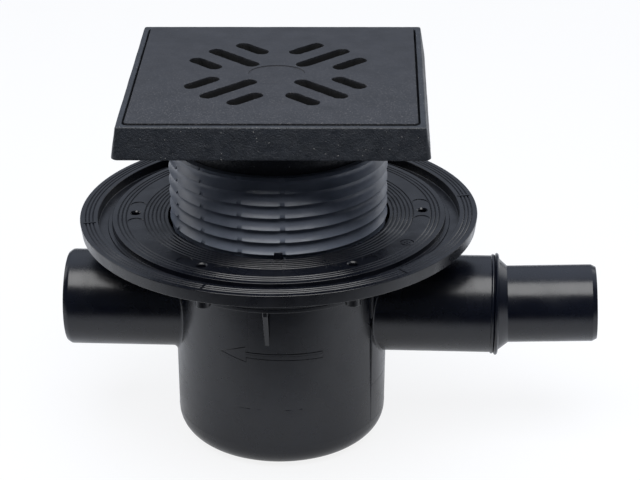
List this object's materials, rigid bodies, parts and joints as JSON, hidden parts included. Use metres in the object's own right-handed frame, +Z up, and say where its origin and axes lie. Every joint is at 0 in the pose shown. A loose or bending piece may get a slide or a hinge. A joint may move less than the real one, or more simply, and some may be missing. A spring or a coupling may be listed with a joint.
{
  "type": "floor drain",
  "caption": "Floor drain: sump with side outlet and inlet spigots, round flange, ribbed extension that slides, and a square cast iron frame with a slotted grate that turns.",
  "frame": {"origin": "centre of the sump's flat bottom, on the axis of the cup", "axes": "+Z up through cup, extension and grate; +X along the pipes towards the inlet, -X towards the outlet"},
  "size_m": [0.2771, 0.2044, 0.1982],
  "materials": {
    "black_polyethylene": "moulded black polyethylene, satin to glossy",
    "reducer_polyethylene": "extruded black polyethylene, glossy",
    "flange_polyethylene": "moulded black polyethylene, satin",
    "seal_rubber": "black rubber",
    "sleeve_polypropylene": "moulded black polypropylene",
    "grey_polypropylene": "moulded blue-grey polypropylene, satin",
    "frame_iron": "sand cast iron, dark dipped coating, rough",
    "grate_iron": "sand cast iron, dark dipped coating, worn smoother on top"
  },
  "bodies": {
    "drain_body": {"sump_body": "black_polyethylene", "inlet_reducer": "reducer_polyethylene", "flange_ring": "flange_polyethylene", "lip_seal": "seal_rubber", "sleeve_seal": "seal_rubber", "trap_sleeve": "sleeve_polypropylene"},
    "extension": {"extension_tube": "grey_polypropylene"},
    "cover": {"frame": "frame_iron", "grate": "grate_iron"}
  },
  "joints": [
    {"name": "extension_slide", "type": "slide", "parent": "drain_body", "child": "extension", "axis": [0, 0, 1], "range_m": [0, 0.012]},
    {"name": "frame_swivel", "type": "hinge", "parent": "extension", "child": "cover", "pos_m": [0, 0, 0.16], "axis": [0, 0, 1], "continuous": true}
  ]
}
